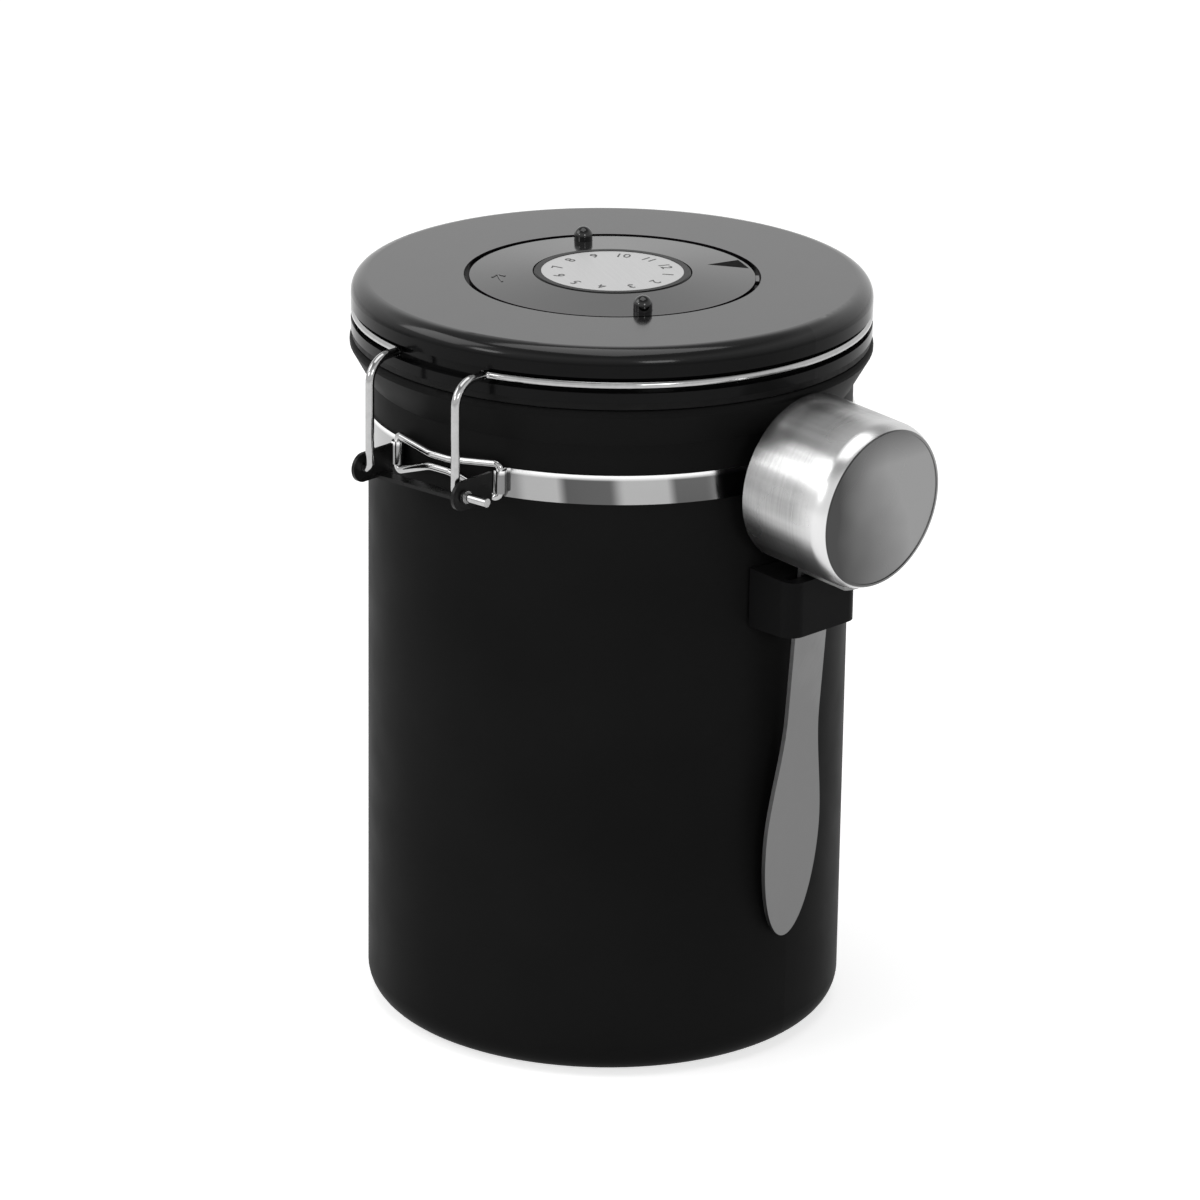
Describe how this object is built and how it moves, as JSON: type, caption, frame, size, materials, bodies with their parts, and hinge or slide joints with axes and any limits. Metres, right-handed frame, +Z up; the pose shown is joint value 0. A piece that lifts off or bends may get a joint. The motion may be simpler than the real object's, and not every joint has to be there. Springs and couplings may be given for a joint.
{
  "type": "coffee canister",
  "caption": "Round steel canister with a hinged lid, wire bail latch, month dial, one-way gas valve, and a scoop hanging in a side clip.",
  "frame": {"origin": "centre of the can's bottom, on the surface it stands on", "axes": "+Z up along the can's axis; the latch is at -Y, the lid's hinge at +Y and the scoop's clip beside +X"},
  "size_m": [0.1605, 0.1497, 0.1958],
  "materials": {
    "black_paint": "satin",
    "polished_steel": "polished",
    "bright_wire": "polished",
    "brushed_steel": "brushed",
    "dark_steel": "satin",
    "lid_plastic": "satin",
    "gloss_black": "gloss",
    "white_plastic": "satin",
    "seal_rubber": "matte",
    "valve_rubber": "satin",
    "filter_paper": "matte",
    "foam": "matte",
    "screw_steel": "satin"
  },
  "bodies": {
    "canister": {"canister_body": "black_paint", "neck_band": "polished_steel", "catch_frame": "bright_wire", "hinge_bracket": "polished_steel", "clip_pad": "foam", "scoop_clip": "lid_plastic"},
    "lid": {"lid_cover": "lid_plastic", "lid_liner": "lid_plastic", "lid_gasket": "seal_rubber", "dial_cap": "gloss_black", "dial_disc": "brushed_steel", "dial_screw": "screw_steel", "valve_body": "white_plastic", "valve_filter": "filter_paper", "valve_cap": "white_plastic", "bail_wire": "bright_wire", "wire_stops": "bright_wire"},
    "month_ring": {"date_ring": "lid_plastic", "finger_pegs": "gloss_black", "pointer_inlay": "gloss_black"},
    "valve_disc": {"valve_membrane": "valve_rubber"},
    "lever": {"latch_lever": "dark_steel"},
    "scoop": {"scoop_cup": "brushed_steel", "scoop_handle": "brushed_steel"}
  },
  "joints": [
    {"name": "lid_hinge", "type": "hinge", "parent": "canister", "child": "lid", "pos_m": [0, 0.07, 0.169], "axis": [-1, 0, 0], "range_deg": [0, 110]},
    {"name": "month_turn", "type": "hinge", "parent": "lid", "child": "month_ring", "pos_m": [0, 0, 0.19], "axis": [0, 0, 1], "continuous": true},
    {"name": "valve_lift", "type": "slide", "parent": "lid", "child": "valve_disc", "axis": [0, 0, 1], "range_m": [0, 0.0008], "stiffness_N_per_m": 2, "springref_m": -0.001},
    {"name": "lever_turn", "type": "hinge", "parent": "lid", "child": "lever", "pos_m": [0, -0.0738, 0.1554], "axis": [-1, 0, 0], "range_deg": [-60, 90]},
    {"name": "scoop_lift", "type": "slide", "parent": "canister", "child": "scoop", "axis": [0.0783, -0.0055, 0.9969], "range_m": [0, 0.103]}
  ]
}
